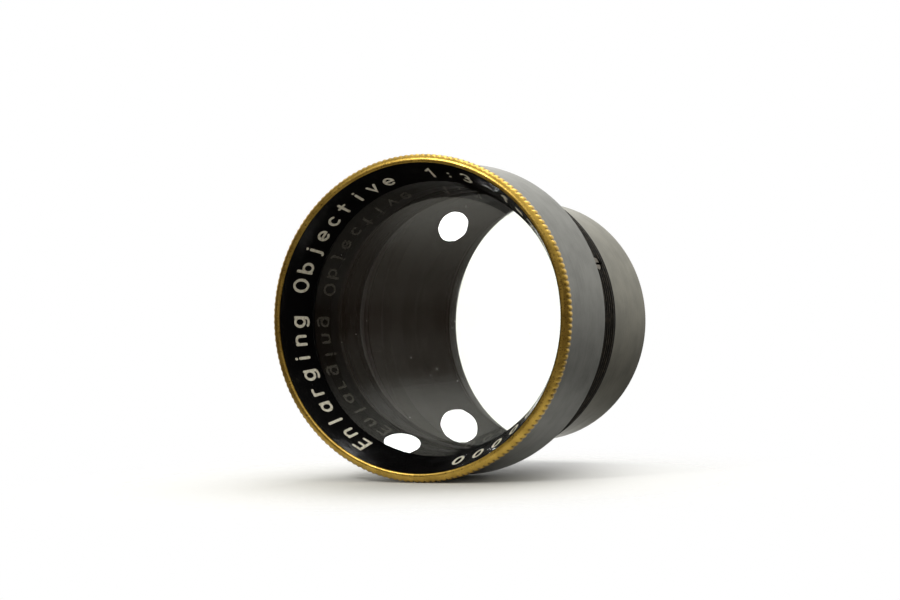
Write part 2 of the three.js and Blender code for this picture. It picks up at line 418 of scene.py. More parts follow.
def black_enamel():
    """Glossy black enamel, worn to brass on the thread and matt behind the cone."""
    black, rubbed, bare = (0.0025, 0.0025, 0.003), (0.05, 0.045, 0.035), (0.22, 0.15, 0.05)
    nodes = Nodes("black_enamel")
    colour = nodes.mix(nodes.specks(scale=1.3, size=0.07), black, rubbed)
    colour = nodes.mix(nodes.attribute("thread_crest"), colour, bare)
    roughness = nodes.ramp(nodes.noise(0.5, 3), (0.35, 0.7), (0.10, 0.24))
    roughness = nodes.at_least(roughness, nodes.attribute("inside"), 0.7)
    nodes.bump(nodes.noise(3.0, 2), distance=0.012, strength=0.5)
    return nodes.finish(colour, roughness, Specular_IOR_Level=0.32)


def letter_paint():
    """Cream paint with grime in it."""
    cream, grimy = (0.93, 0.90, 0.77), (0.58, 0.53, 0.39)
    nodes = Nodes("letter_paint")
    grime = nodes.noise(4.0, 4)
    colour = nodes.mix(nodes.ramp(grime, (0.45, 0.75), FULL), cream, grimy)
    nodes.bump(grime, distance=0.02, strength=0.6)
    return nodes.finish(colour, nodes.ramp(grime, MIDDLE, (0.5, 0.75)))


def satin_grey(name, tone):
    """Satin grey metal with turning marks, fine scratches and pits, blackened inside."""
    scratched, pitted = (0.30, 0.30, 0.28), (0.03, 0.03, 0.028)
    bare, blackened_inside = (0.30, 0.29, 0.26), (0.006, 0.006, 0.006)
    dark, light = tuple(0.84 * c for c in tone), tuple(1.14 * c for c in tone)
    nodes = Nodes(name)
    marks = nodes.noise(1.0, 3, nodes.stretched(0.12, 9.0, 0.12))
    scratches = nodes.noise(1.0, 2, nodes.stretched(0.5, 26.0, 0.5))
    pits = nodes.maths("MULTIPLY", nodes.specks(scale=1.1, size=0.045), 0.6)
    inside = nodes.attribute("inside")
    colour = nodes.mix(nodes.ramp(nodes.noise(0.45, 6), (0.35, 0.65), FULL), dark, light)
    colour = nodes.mix(nodes.ramp(scratches, (0.62, 0.72), (0.0, 0.35)), colour, scratched)
    colour = nodes.mix(pits, colour, pitted)
    colour = nodes.mix(nodes.attribute("thread_crest"), colour, bare)
    colour = nodes.mix(inside, colour, blackened_inside)
    roughness = nodes.at_least(nodes.ramp(marks, MIDDLE, (0.30, 0.42)), inside, 0.6)
    nodes.bump(marks, distance=0.008, strength=0.6)
    return nodes.finish(colour, roughness, metallic=0.55, Specular_IOR_Level=0.5)


def blackened(name, tone, roughness_range):
    """Chemically blackened metal with brown wear on its crests."""
    brown = (0.11, 0.085, 0.055)
    nodes = Nodes(name)
    cloud = nodes.noise(1.2, 4)
    colour = nodes.mix(cloud, tuple(0.6 * c for c in tone), tone)
    rubbed = nodes.ramp(nodes.noise(2.6, 4), (0.42, 0.75), (0.0, 0.8))
    worn = nodes.maths("MULTIPLY", nodes.attribute("thread_crest"), rubbed)
    colour = nodes.mix(worn, colour, brown)
    nodes.bump(nodes.noise(6.0, 2), distance=0.01, strength=0.5)
    roughness = nodes.ramp(cloud, MIDDLE, roughness_range)
    return nodes.finish(colour, roughness, Specular_IOR_Level=0.15)


def screw_steel():
    """Dull steel with a coarse grain."""
    dark, light = (0.06, 0.052, 0.045), (0.24, 0.22, 0.19)
    nodes = Nodes("screw_steel")
    grain = nodes.noise(9.0, 3)
    nodes.bump(grain, distance=0.02, strength=0.6)
    roughness = nodes.ramp(grain, MIDDLE, (0.4, 0.6))
    return nodes.finish(nodes.mix(grain, dark, light), roughness, metallic=1.0)


def optical_glass():
    """Clear glass with faint smudges and a few specks of dust."""
    clear, dusty = (0.985, 0.995, 0.99), (0.75, 0.75, 0.72)
    nodes = Nodes("optical_glass")
    dust = nodes.specks(scale=0.55, size=0.035)
    smudge = nodes.ramp(nodes.noise(0.22, 5), (0.5, 0.75), (0.0, 0.05))
    roughness = nodes.at_least(smudge, dust, 0.5)
    colour = nodes.mix(dust, clear, dusty)
    return nodes.finish(colour, roughness, Transmission_Weight=1.0, IOR=GLASS_INDEX)


def ground_edge():
    """The ground rim of an element, painted black against stray light."""
    dark, light = (0.012, 0.012, 0.012), (0.035, 0.035, 0.033)
    nodes = Nodes("ground_edge")
    grain = nodes.noise(5.0, 3)
    nodes.bump(grain, distance=0.01, strength=0.5)
    roughness = nodes.ramp(grain, MIDDLE, (0.32, 0.45))
    return nodes.finish(nodes.mix(grain, dark, light), roughness, Specular_IOR_Level=0.6)


BRASS = brass()
ENAMEL = black_enamel()
LETTERS = letter_paint()
BARREL_GREY = satin_grey("satin_barrel_grey", (0.138, 0.141, 0.135))
TUBE_GREY = satin_grey("satin_tube_grey", (0.150, 0.144, 0.117))
THREAD_BLACK = blackened("thread_black", (0.007, 0.006, 0.0045), (0.45, 0.6))
INNER_BLACK = blackened("inner_black", (0.005, 0.005, 0.0048), (0.55, 0.7))
STEEL = screw_steel()
GLASS = optical_glass()
GLASS_EDGE = ground_edge()

# ---- Front cell ----------------------------------------------

RIM_BORE = 15.16
RIM_BORE_BEVEL = 0.05
# The rim's rolled edge: radius, and depth behind its flat face.
ROLLED_EDGE = ((15.42, 0.0), (15.55, 0.02), (15.70, 0.10), (15.84, 0.22), (15.93, 0.32))
# Both ends of the knurl: radius from its crest, and depth from the flat face or the rear.
KNURL_FRONT = ((-0.02, 0.40), (0.0, 0.46))
KNURL_REAR = ((0.0, -0.12), (-0.02, -0.05), (-0.12, 0.0))
KNURL_FLOOR = 0.17                   # this far inside the crests nothing is knurled
KNURL_FADE = 0.12                    # and the teeth reach full depth this much further out
SHALLOWEST_TOOTH = 0.75
STEPS_PER_TOOTH = 8

CONE_FRONT_RADIUS = 15.10
CONE_BACK_RADIUS = 13.5
CONE_FRONT = front("front_cell")
CONE_BACK = CONE_FRONT + 3.88
CELL_LIP_RADIUS = 15.13              # outside the thin front edge of the cone
CELL_THREAD_RADIUS = 14.95
CELL_THREAD_LENGTH = 3.64
CELL_PILOT_RADIUS = 14.42
CELL_BORE = 13.86
CELL_GAP = 0.02                      # small steps between neighbouring turned surfaces
SEAT_LIP = 0.04                      # the glass's seat starts this far behind the cone
SEAT_BACK = 0.16
MATT_START = 0.1                     # and everything further behind is matt


def knurl_tooth(angle):
    """Depth of the knurl at an angle: 0 on a crest and 1 in a groove, with rounded crests."""
    phase = (angle * KNURL_TEETH / TAU) % 1.0
    return np.abs(2 * phase - 1) ** 1.4


def build_rim():
    """The brass grip ring, with teeth of slightly uneven depth."""
    crest = radius("knurled_rim")
    face, rear = ends("knurled_rim")
    wear = random.Random(11)
    uneven = np.array([wear.uniform(SHALLOWEST_TOOTH, 1.0) for _ in range(KNURL_TEETH)])

    def knurled(r):
        return np.clip((r - crest + KNURL_FLOOR) / KNURL_FADE, 0, 1)

    def relief(r, y, angle):
        tooth = (angle * KNURL_TEETH / TAU + 0.5).astype(int) % KNURL_TEETH
        return r - KNURL_DEPTH * knurled(r) * knurl_tooth(angle) * uneven[tooth]

    def root(r, y, angle):
        return knurled(r) * np.clip(1.5 * knurl_tooth(angle) - 0.5, 0, 1)

    outline = [(RIM_BORE, rear), (RIM_BORE, face + RIM_BORE_BEVEL)]
    outline += [(RIM_BORE + RIM_BORE_BEVEL, face)]
    outline += [(r, face + depth) for r, depth in ROLLED_EDGE]
    outline += [(crest + out, face + depth) for out, depth in KNURL_FRONT]
    outline += [(crest + out, rear + depth) for out, depth in KNURL_REAR]
    steps = KNURL_TEETH * STEPS_PER_TOOTH
    rim = spin("brass_rim", outline, steps, relief, {"root": root}, sharp_angle=50.0)
    place_piece(rim, "front_cell", "brass", BRASS, "knurled_rim")


def build_cell():
    """The enamelled cell: the cone in front, a thread outside and the glass's seat inside."""
    rear = back("front_cell")
    thread_start = back("knurled_rim") + CELL_GAP
    thread_end = thread_start + CELL_THREAD_LENGTH
    outline = [(CONE_FRONT_RADIUS, CONE_FRONT)]
    outline += [(CELL_LIP_RADIUS, CONE_FRONT + CELL_GAP), (CELL_LIP_RADIUS, thread_start)]
    outline += along((CELL_THREAD_RADIUS, thread_start), (CELL_THREAD_RADIUS, thread_end), 70)
    outline += [(CELL_PILOT_RADIUS, thread_end), (CELL_PILOT_RADIUS, rear)]
    outline += [(CELL_BORE, rear), (CELL_BORE, CONE_BACK + SEAT_BACK)]
    outline += [(CONE_BACK_RADIUS + CELL_GAP, CONE_BACK + SEAT_LIP)]
    outline += [(CONE_BACK_RADIUS, CONE_BACK)]
    outline += along((CONE_BACK_RADIUS, CONE_BACK), (CONE_FRONT_RADIUS, CONE_FRONT), 6)[1:-1]

    def inside(r, y, angle):
        return np.full(len(angle), 1.0 if y > CONE_BACK + MATT_START else 0.0)

    relief = thread_relief(thread_start, thread_end, CELL_THREAD_RADIUS)
    crests = thread_mask(thread_start, thread_end, CELL_THREAD_RADIUS)
    masks = {"thread_crest": crests, "inside": inside}
    cell = spin("enamelled_cell", outline, SMOOTH_STEPS, relief, masks)
    place_piece(cell, "front_cell", "black_enamel", ENAMEL, "front_cell")


# ---- Retaining rings -----------------------------------------

RING_BEVEL = 0.1

# Each ring's body, the bore at its front and back, where its slots start and end behind the
# rim plane, and whether they are upright.
RINGS = {
    "front_retaining_ring": ("front_cell", (12.7, 12.95), (6.5, 8.0), False),
    "middle_retaining_ring": ("rear_tube", (10.8, 10.3), (10.5, 11.5), False),
    "rear_retaining_ring": ("rear_tube", (11.3, 11.45), (27.2, 28.5), True),
}


def build_ring(node):
    """A retaining ring with two spanner slots and a conical bore."""
    body, bore, slots, upright = RINGS[node]
    outer = radius(node)
    start, end = ends(node)
    outline = [(bore[0], start), (outer - RING_BEVEL, start)]
    outline += along((outer, start + RING_BEVEL), (outer, end - RING_BEVEL), 12)
    outline += [(outer - RING_BEVEL, end), (bore[1], end)]
    ring = spin(node + "_detail", rounded(outline, 0.06), RING_STEPS)
    cut_slots(ring, slots[0] + RIM_PLANE, slots[1] + RIM_PLANE, upright)
    place_piece(ring, body, "black_brass", INNER_BLACK, node)


# ---- Lettering -----------------------------------------------

CAP_HEIGHT = 1.78                    # along the middle of the strokes
LOWER_HEIGHT = 1.20
STROKE = 0.29
LETTER_RISE = 0.012                  # how far the paint stands above the cone
LETTER_ROOT = -0.03                  # and how far its slabs reach into it
STROKE_STEP = 0.001                  # each stroke stands this much above the one before
BASELINE_SLANT = 1.04                # from the inner edge of the cone up to the baseline
CAP_ANGLES = (30, 60, 85)            # degrees, where a round stroke end has its points
SAME_POINT = 1e-6
SHARPEST_JOIN = 0.5                  # keeps a sharp corner of a stroke from growing long


def arc(cx, cy, rx, ry, start, end, steps=14):
    """Points on an ellipse, angles in degrees counted anticlockwise from the right."""
    angles = np.radians(np.linspace(start, end, steps))
    return [(cx + rx * math.cos(a), cy + ry * math.sin(a)) for a in angles]


def glyphs():
    """Single-stroke letters and numbers, in cap heights."""
    x_high = LOWER_HEIGHT / CAP_HEIGHT
    half = x_high / 2
    bowl = arc(0.27, half, 0.25, half, 0, 360, 24)
    zero = arc(0.27, 0.5, 0.25, 0.5, 0, 360, 26)
    return {
        "E": [[(0.48, 0), (0, 0), (0, 1), (0.48, 1)], [(0, 0.52), (0.42, 0.52)]],
        "O": [arc(0.32, 0.5, 0.32, 0.5, 0, 360, 28)],
        "n": [[(0, 0), (0, x_high)], arc(0.23, x_high - 0.23, 0.23, 0.23, 180, 0) + [(0.46, 0)]],
        "l": [[(0.06, 1), (0.06, 0)]],
        "a": [bowl, [(0.52, x_high), (0.52, 0)]],
        "r": [[(0, 0), (0, x_high)], arc(0.22, x_high - 0.22, 0.22, 0.22, 180, 60, 8)],
        "g": [bowl, [(0.52, x_high), (0.52, -0.12)] + arc(0.27, -0.12, 0.25, 0.17, 0, -140, 9)],
        "i": [[(0.06, x_high), (0.06, 0)], [(0.06, 0.93), (0.06, 0.95)]],
        "b": [bowl, [(0.02, 1), (0.02, 0)]],
        "j": [[(0.14, x_high), (0.14, -0.14)] + arc(0.0, -0.14, 0.14, 0.14, 0, -80, 6),
              [(0.14, 0.93), (0.14, 0.95)]],
        "e": [[(0.03, half), (0.51, half)] + arc(0.27, half, 0.25, half, 10, 310, 20)],
        "c": [arc(0.27, half, 0.25, half, 50, 310, 18)],
        "t": [[(0.14, 0.95), (0.14, 0.0)], [(-0.04, x_high), (0.34, x_high)]],
        "v": [[(0, x_high), (0.22, 0), (0.44, x_high)]],
        "f": [arc(0.34, 0.78, 0.2, 0.2, 80, 180, 8) + [(0.14, 0)], [(0, x_high), (0.32, x_high)]],
        "1": [[(0.0, 0.76), (0.22, 1), (0.22, 0)]],
        "3": [arc(0.22, 0.75, 0.22, 0.25, 150, -90), arc(0.22, 0.25, 0.24, 0.25, 90, -150)],
        "5": [[(0.44, 1), (0.08, 1), (0.04, 0.56)], arc(0.21, 0.31, 0.24, 0.31, 130, -140, 16)],
        "7": [[(0, 1), (0.46, 1), (0.14, 0)]],
        "0": [zero],
        ":": [[(0.06, 0.16), (0.06, 0.18)], [(0.06, 0.60), (0.06, 0.62)]],
        "=": [[(0, 0.3), (0.4, 0.3)], [(0, 0.58), (0.4, 0.58)]],
    }


def stroke_slab(path):
    """Outline of one pen stroke with round ends, as rows of left and right edge points."""
    path = np.asarray(path, float)
    path = path[np.append(True, np.linalg.norm(np.diff(path, axis=0), axis=1) > SAME_POINT)]
    step = np.diff(path, axis=0)
    step /= np.linalg.norm(step, axis=1)[:, None]
    closed = np.linalg.norm(path[0] - path[-1]) < SAME_POINT
    before = np.vstack([step[-1:] if closed else step[:1], step])
    after = np.vstack([step, step[:1] if closed else step[-1:]])
    middle = before + after
    middle /= np.linalg.norm(middle, axis=1)[:, None]
    normal = np.stack([-middle[:, 1], middle[:, 0]], axis=1)
    widen = 1 / np.maximum(SHARPEST_JOIN, (middle * after).sum(axis=1))
    half = STROKE / 2
    rows = [(p + half * w * n, p - half * w * n) for p, n, w in zip(path, normal, widen)]
    if closed:
        return rows, True
    for end, direction, place in ((0, -step[0], path[0]), (-1, step[-1], path[-1])):
        side = np.array([-direction[1], direction[0]]) * (1 if end else -1)
        caps = []
        for angle in np.radians(CAP_ANGLES):
            centre = place + half * math.sin(angle) * direction
            reach = half * math.cos(angle) * side
            caps.append((centre + reach, centre - reach))
        rows = rows + caps if end else caps[::-1] + rows
    return rows, False


def on_cone(across, slant, rise, start_angle):
    """A point on the cone: across in mm clockwise from the front, slant from its base."""
    run = CONE_FRONT_RADIUS - CONE_BACK_RADIUS
    length = math.hypot(run, CONE_BACK - CONE_FRONT)
    share = slant / length
    r = CONE_BACK_RADIUS + share * run
    y = CONE_BACK + share * (CONE_FRONT - CONE_BACK)
    inward = rise * (CONE_BACK - CONE_FRONT) / length
    forward = rise * run / length
    angle = start_angle - across / ((CONE_FRONT_RADIUS + CONE_BACK_RADIUS) / 2)
    r_used = r - inward
    return (r_used * math.cos(angle), y - forward, AXIS_HEIGHT + r_used * math.sin(angle))


def letter_mesh(strokes, start_angle, points, faces):
    """Adds one letter as closed thin slabs lying on the cone."""
    for number, path in enumerate(strokes):
        scaled = [(x * CAP_HEIGHT, y * CAP_HEIGHT + BASELINE_SLANT) for x, y in path]
        rows, closed = stroke_slab(scaled)
        rise = LETTER_RISE + STROKE_STEP * number
        base = len(points)
        for left, right in rows:
            points.append(on_cone(*left, rise, start_angle))
            points.append(on_cone(*right, rise, start_angle))
            points.append(on_cone(*right, LETTER_ROOT, start_angle))
            points.append(on_cone(*left, LETTER_ROOT, start_angle))
        count = len(rows) - 1 if closed else len(rows)
        for row in range(count if closed else count - 1):
            here = base + 4 * row
            there = base + 4 * ((row + 1) % count)
            for side in range(4):
                following = (side + 1) % 4
                faces.append((here + side, here + following, there + following, there + side))
        if closed:
            del points[base + 4 * count:]
        else:
            last = base + 4 * (count - 1)
            faces.append((base, base + 3, base + 2, base + 1))
            faces.append((last, last + 1, last + 2, last + 3))


# Each text, the angle of its first letter and the angle from letter to letter, in degrees.
TEXTS = (
    ("Enlarging Objective", 242.0, 7.35),
    ("1:3", 91.0, 8.0),
    ("f=75", 56.0, 7.6),
    ("00000", 322.0, 9.0),
)


def build_lettering():
    """Generic wording round the cone."""
    shapes = glyphs()
    points, faces = [], []
    for text, start, pitch in TEXTS:
        for place, letter in enumerate(text):
            if letter == " ":
                continue
            wide = max(x for path in shapes[letter] for x, _ in path) * CAP_HEIGHT
            centring = math.degrees(wide / 2 / CONE_FRONT_RADIUS)
            angle = math.radians(start - pitch * place + centring - pitch / 4)
            letter_mesh(shapes[letter], angle, points, faces)
    letters = add_mesh("cone_lettering", points, faces)
    place_piece(letters, "front_cell", "black_enamel", LETTERS)


# ---- Glass ---------------------------------------------------

# Each element's body and the curves of its front and rear faces.
GLASSES = {
    "front_element": ("front_glass", (33.02, -653.6)),
    "middle_element": ("rear_glasses", (-39.0, 27.0)),
    "rear_element": ("rear_glasses", (119.5, -27.59)),
}
EDGE_BEVEL = 0.22
BEVEL_START = 0.01                   # the narrow band between a polished face and its bevel
GLASS_STEPS = 192
GLASS_RINGS = 44
GLASS_SHARP_ANGLE = 20.0


def surface_y(vertex, curve, r):
    return vertex + math.copysign(abs(curve) - math.sqrt(curve * curve - r * r), curve)


def glass_face(node, curve, end, outward):
    """Half an element's outline, from the axis to its rim, with a ground bevel."""
    edge = radius(node)
    polished = edge - EDGE_BEVEL
    bulges = curve * outward < 0
    vertex = end if bulges else end - surface_y(0.0, curve, edge)
    face = [(r, surface_y(vertex, curve, r)) for r in np.linspace(0, polished, GLASS_RINGS)]
    last = face[-1][1]
    bevel_start = (polished + BEVEL_START, last - BEVEL_START * outward)
    return face + [bevel_start, (edge, last - EDGE_BEVEL * outward)]


def build_glass(node):
    """One element: two spherical faces, ground bevels and a blackened rim."""
    body, (front_curve, rear_curve) = GLASSES[node]
    outline = glass_face(node, front_curve, front(node), -1)
    outline += glass_face(node, rear_curve, back(node), 1)[::-1]
    glass = spin(node + "_detail", outline, GLASS_STEPS, sharp_angle=GLASS_SHARP_ANGLE)
    place_piece(glass, body, "glass", GLASS, node)
    glass.data.materials.append(GLASS_EDGE)
    polished = (radius(node) - EDGE_BEVEL) * MM
    for face in glass.data.polygons:
        from_axis = math.hypot(face.center.x, face.center.z - AXIS_HEIGHT * MM)
        face.material_index = 1 if from_axis > polished else 0


# ---- Barrel --------------------------------------------------

BARREL_THREAD_BORE = 15.03
BARREL_THREAD_LENGTH = 3.8
BARREL_BORE = 14.5
BARREL_WEB = 1.39                    # from the rear face to the front of the web
BARREL_WEB_BORE = 13.22
BARREL_SINK = 0.3                    # the counterbore that takes the front of the neck
BARREL_SINK_RADIUS = 13.81
BARREL_SINK_BEVEL = 0.06
BARREL_FRONT_BEVEL = (0.06, 0.08)
BARREL_REAR_BEVEL = 0.14
BARREL_INSIDE = 15.2                 # nearer the axis than this, the barrel is blackened
INNER_THREAD_DEPTH = 0.12
WALL_INSET = 1.0                     # extra rows near the ends keep a long wall's shading flat

NECK_BORE = 12.33
NECK_SPIGOT_RADIUS = 13.15
NECK_SPIGOT_LENGTH = 1.12
NECK_GROOVE_WIDTH = 0.9
NECK_GROOVE_DEPTH = 0.35
NECK_BEVEL = 0.2
NECK_THREAD_INSET = 0.25             # the thread fades out this far from the neck's edges

BAFFLE_MOUTH, BAFFLE_LIP, BAFFLE_THROAT = 13.8, 11.95, 11.2
BAFFLE_LIP_DEPTH = 0.35
BAFFLE_FLANGE = 0.7
BAFFLE_CONE, BAFFLE_TAIL = 12.22, 11.5

SHIM_INNER, SHIM_OUTER = 14.52, 14.94

SCREW_RADIUS = 0.69
SCREW_TAPER = 0.8                    # the tip's radius as a share of the head's
SCREW_LENGTH = 1.12
SCREW_SLOT_WIDTH = 0.24
SCREW_SLOT_SIZE = 0.7                # half of it is in the head
SCREW_BEVEL = 0.05
SCREW_HOLE_RADIUS = 0.76
SCREW_HOLE_LENGTH = 4.0


def inside_mask(limit):
    """1 on every surface nearer the axis than a limit, which is blackened on such lenses."""
    return {"inside": lambda r, y, angle: np.full(len(angle), 1.0 if r < limit else 0.0)}


def build_barrel():
    """The grey outer barrel, threaded inside for the front cell."""
    outer = radius("front_barrel")
    start, end = ends("front_barrel")
    ledge = start + BARREL_THREAD_LENGTH
    sink = end - BARREL_SINK
    web = end - BARREL_WEB
    outline = [(BARREL_THREAD_BORE, start), (outer - BARREL_FRONT_BEVEL[0], start)]
    outline += [(outer, start + BARREL_FRONT_BEVEL[1]), (outer, start + WALL_INSET)]
    outline += [(outer, end - WALL_INSET), (outer, end - BARREL_REAR_BEVEL)]
    outline += [(outer - BARREL_REAR_BEVEL, end), (BARREL_SINK_RADIUS + BARREL_SINK_BEVEL, end)]
    outline += [(BARREL_SINK_RADIUS, end - BARREL_SINK_BEVEL), (BARREL_SINK_RADIUS, sink)]
    outline += [(BARREL_WEB_BORE, sink), (BARREL_WEB_BORE, web), (BARREL_BORE, web)]
    outline += [(BARREL_BORE, ledge), (BARREL_THREAD_BORE, ledge)]
    outline += along((BARREL_THREAD_BORE, ledge), (BARREL_THREAD_BORE, start), 60)[1:-1]
    relief = thread_relief(start, ledge, BARREL_THREAD_BORE, INNER_THREAD_DEPTH, outward=False)
    barrel = spin("grey_barrel", outline, SMOOTH_STEPS, relief, inside_mask(BARREL_INSIDE))
    place_piece(barrel, "barrel", "satin_barrel", BARREL_GREY, "front_barrel")


def screw_place():
    """Turns +Z to the lock screw's own axis and moves it to the screw's middle, in metres."""
    low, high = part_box("lock_screw")
    joint = [j for j in frame["joints"] if j["name"] == "lock_screw_turn"][0]
    axis = Vector(joint["axis"]).normalized()
    turn = Vector((0, 0, 1)).rotation_difference(axis).to_matrix().to_4x4()
    return Matrix.Translation((low + high) / 2) @ turn


def cut_screw_hole(neck):
    """The tapped hole that the lock screw sits in."""
    work = bmesh.new()
    hole_radius = SCREW_HOLE_RADIUS * MM
    bmesh.ops.create_cone(
        work, cap_ends=True, segments=40,
        radius1=hole_radius, radius2=hole_radius, depth=SCREW_HOLE_LENGTH * MM,
    )
    subtract(neck, from_bmesh("drill", work), screw_place())


def build_neck():
    """The black neck, with the mounting thread outside and the tube's thread inside."""
    outer = radius("threaded_neck")
    start, end = ends("threaded_neck")
    collar = start + NECK_SPIGOT_LENGTH
    groove = collar + NECK_GROOVE_WIDTH
    groove_radius = outer - NECK_GROOVE_DEPTH
    thread_start, thread_end = groove + NECK_THREAD_INSET, end - NECK_THREAD_INSET
    outline = [(NECK_BORE, start), (NECK_SPIGOT_RADIUS, start), (NECK_SPIGOT_RADIUS, collar)]
    outline += [(groove_radius, collar), (groove_radius, groove), (outer, groove + NECK_BEVEL)]
    outline += along((outer, thread_start), (outer, thread_end), 96)
    outline += [(outer - NECK_BEVEL, end), (NECK_BORE, end)]
    outline += along((NECK_BORE, end), (NECK_BORE, start), 90)[1:-1]
    cut = thread_relief(thread_start, thread_end, outer)
    bore = thread_relief(start, end, NECK_BORE, INNER_THREAD_DEPTH, outward=False)

    def relief(r, y, angle):
        return bore(r, y, angle) if r < NECK_SPIGOT_RADIUS else cut(r, y, angle)

    masks = {"thread_crest": thread_mask(thread_start, thread_end, outer)}
    neck = spin("black_neck", outline, THREAD_STEPS, relief, masks, sharp_angle=60.0)
    cut_screw_hole(neck)
    place_piece(neck, "barrel", "black_thread", THREAD_BLACK, "threaded_neck")


def build_baffle():
    """The blackened funnel inside the barrel."""
    outer = radius("light_baffle")
    start, end = ends("light_baffle")
    flange = start + BAFFLE_FLANGE
    outline = [(BAFFLE_MOUTH, start), (outer, start), (outer, flange), (BAFFLE_CONE, flange)]
    outline += [(BAFFLE_TAIL, end), (BAFFLE_THROAT, end)]
    outline += along((BAFFLE_THROAT, end), (BAFFLE_LIP, start + BAFFLE_LIP_DEPTH), 8)[1:]
    baffle = spin("baffle_funnel", rounded(outline, 0.05), RING_STEPS)
    place_piece(baffle, "barrel", "black_brass", INNER_BLACK, "light_baffle")


def build_shim():
    """The thin brass washer behind the front cell."""
    start, end = ends("air_space_shim")
    outline = [(SHIM_INNER, start), (SHIM_OUTER, start), (SHIM_OUTER, end), (SHIM_INNER, end)]
    shim = spin("shim_washer", rounded(outline, 0.02, 2), RING_STEPS)
    place_piece(shim, "barrel", "brass", BRASS, "air_space_shim")


def build_screw():
    """The slotted grub screw, built along +Z in millimetres and turned into the neck."""
    work = bmesh.new()
    bmesh.ops.create_cone(
        work, cap_ends=True, segments=48,
        radius1=SCREW_RADIUS * SCREW_TAPER, radius2=SCREW_RADIUS, depth=SCREW_LENGTH,
    )
    top_edges = [edge for edge in work.edges if all(v.co.z > 0 for v in edge.verts)]
    bmesh.ops.bevel(work, geom=top_edges, offset=SCREW_BEVEL, segments=2, affect="EDGES")
    screw = from_bmesh("slotted_lock_screw", work)
    bpy.context.collection.objects.link(screw)
    slot = (SCREW_SLOT_WIDTH, 4 * SCREW_RADIUS, SCREW_SLOT_SIZE)
    cut_box(screw, slot, (0, 0, SCREW_LENGTH / 2))
    screw.data.transform(screw_place() @ Matrix.Scale(MM, 4))
    screw.data.set_sharp_from_angle(angle=math.radians(30))
    place_piece(screw, "lock_screw", "screw_steel", STEEL, "lock_screw")


# ---- Rear tube -----------------------------------------------

TUBE_FRONT_BORE = 11.25
TUBE_MOUTH_BEVEL = 0.05
TUBE_THREAD_LENGTH = 5.6
TUBE_THREAD_DEPTH = 0.14
TUBE_THREAD_RUNOUT = 0.5
TUBE_WEB_FRONT = 8.05                # behind the front of the tube
TUBE_WEB_THICK = 0.8
TUBE_WEB_BORE = 10.6
TUBE_REAR_BORE = 11.65
TUBE_RING_BORE = 11.87               # the wider bore that takes the rear retaining ring
TUBE_RING_SEAT = 2.85                # in front of the tube's rear end
TUBE_OUTER_BEVEL = (0.1, 0.12)
TUBE_INNER_BEVEL = (0.05, 0.06)
TUBE_INSIDE = 11.9                   # nearer the axis than this, the tube is blackened

STOP_HOLE = 10.0
STOP_BEVEL = (0.25, 0.2)

SPACER_FRONT_BORE, SPACER_BACK_BORE = 10.75, 10.95
SPACER_GROOVES = 16
GROOVE_CREST, GROOVE_ROOT = 0.02, 0.14   # where a groove's crest and root lie in its length
GROOVE_DEPTH = 0.04


def build_tube():
    """The grey rear tube, threaded outside at its front end."""
    outer = radius("rear_tube")
    start, end = ends("rear_tube")
    thread_end = start + TUBE_THREAD_LENGTH
    web_front = start + TUBE_WEB_FRONT
    web_back = web_front + TUBE_WEB_THICK
    ring_seat = end - TUBE_RING_SEAT
    outline = [(TUBE_FRONT_BORE, start + TUBE_MOUTH_BEVEL)]
    outline += [(TUBE_FRONT_BORE + TUBE_MOUTH_BEVEL, start)]
    outline += along((outer, start), (outer, thread_end), 90)
    outline += [(outer, thread_end + TUBE_THREAD_RUNOUT), (outer, end - WALL_INSET)]
    outline += [(outer, end - TUBE_OUTER_BEVEL[1]), (outer - TUBE_OUTER_BEVEL[0], end)]
    outline += [(TUBE_RING_BORE + TUBE_INNER_BEVEL[0], end)]
    outline += [(TUBE_RING_BORE, end - TUBE_INNER_BEVEL[1]), (TUBE_RING_BORE, ring_seat)]
    outline += [(TUBE_REAR_BORE, ring_seat), (TUBE_REAR_BORE, web_back)]
    outline += [(TUBE_WEB_BORE, web_back), (TUBE_WEB_BORE, web_front)]
    outline += [(TUBE_FRONT_BORE, web_front)]
    relief = thread_relief(start, thread_end, outer, TUBE_THREAD_DEPTH)
    masks = {"thread_crest": thread_mask(start, thread_end, outer), **inside_mask(TUBE_INSIDE)}
    tube = spin("grey_tube", outline, SMOOTH_STEPS, relief, masks)
    place_piece(tube, "rear_tube", "satin_barrel", TUBE_GREY, "rear_tube")


def build_stop():
    """The thin disc that sets the aperture, with a bevelled hole."""
    outer = radius("fixed_stop")
    start, end = ends("fixed_stop")
    outline = [(STOP_HOLE, start + STOP_BEVEL[1]), (STOP_HOLE + STOP_BEVEL[0], start)]
    outline += [(outer, start), (outer, end), (STOP_HOLE, end)]
    stop = spin("stop_disc", rounded(outline, 0.03, 2), RING_STEPS)
    place_piece(stop, "rear_glasses", "black_brass", INNER_BLACK, "fixed_stop")


def build_spacer():
    """The rear sleeve, with fine grooves in its bore against stray light."""
    outer = radius("rear_spacer")
    start, end = ends("rear_spacer")
    outline = [(outer, end), (outer, start)]
    for index in range(SPACER_GROOVES):
        share = index / SPACER_GROOVES
        y = start + share * (end - start)
        bore = SPACER_FRONT_BORE + share * (SPACER_BACK_BORE - SPACER_FRONT_BORE)
        outline += [(bore, y + GROOVE_CREST), (bore + GROOVE_DEPTH, y + GROOVE_ROOT)]
    outline += [(SPACER_BACK_BORE, end)]
    spacer = spin("grooved_spacer", outline, RING_STEPS)
    place_piece(spacer, "rear_glasses", "black_brass", INNER_BLACK, "rear_spacer")


# ---- Assembly ------------------------------------------------

